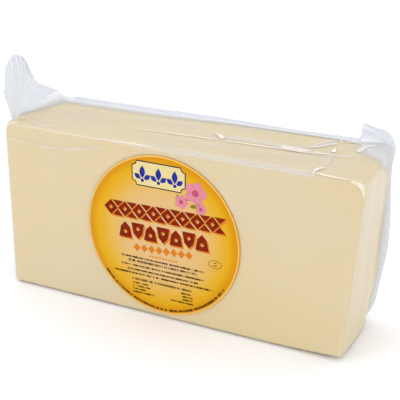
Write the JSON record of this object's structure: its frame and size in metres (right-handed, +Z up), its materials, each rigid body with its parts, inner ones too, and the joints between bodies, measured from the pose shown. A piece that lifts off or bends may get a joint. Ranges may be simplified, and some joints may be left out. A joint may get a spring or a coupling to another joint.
{
  "type": "kashkaval cheese",
  "caption": "Long rectangular block of pale yellow cheese in a tight clear vacuum bag, standing on a long narrow side, with a gathered film tail, a back seal flange and a round gold label.",
  "frame": {"origin": "middle of the flat underside the block stands on, halfway along its length and depth", "axes": "+X along the block's length, away from the gathered tail; the label faces -Y and the flat back web of the bag is at +Y; +Z up"},
  "size_m": [0.2779, 0.0689, 0.1741],
  "materials": {
    "cheese": "satin",
    "film": "gloss",
    "label": "satin",
    "label_print": "satin"
  },
  "bodies": {
    "root": {"vacuum_bag": "cheese", "round_label": "label"}
  },
  "joints": []
}
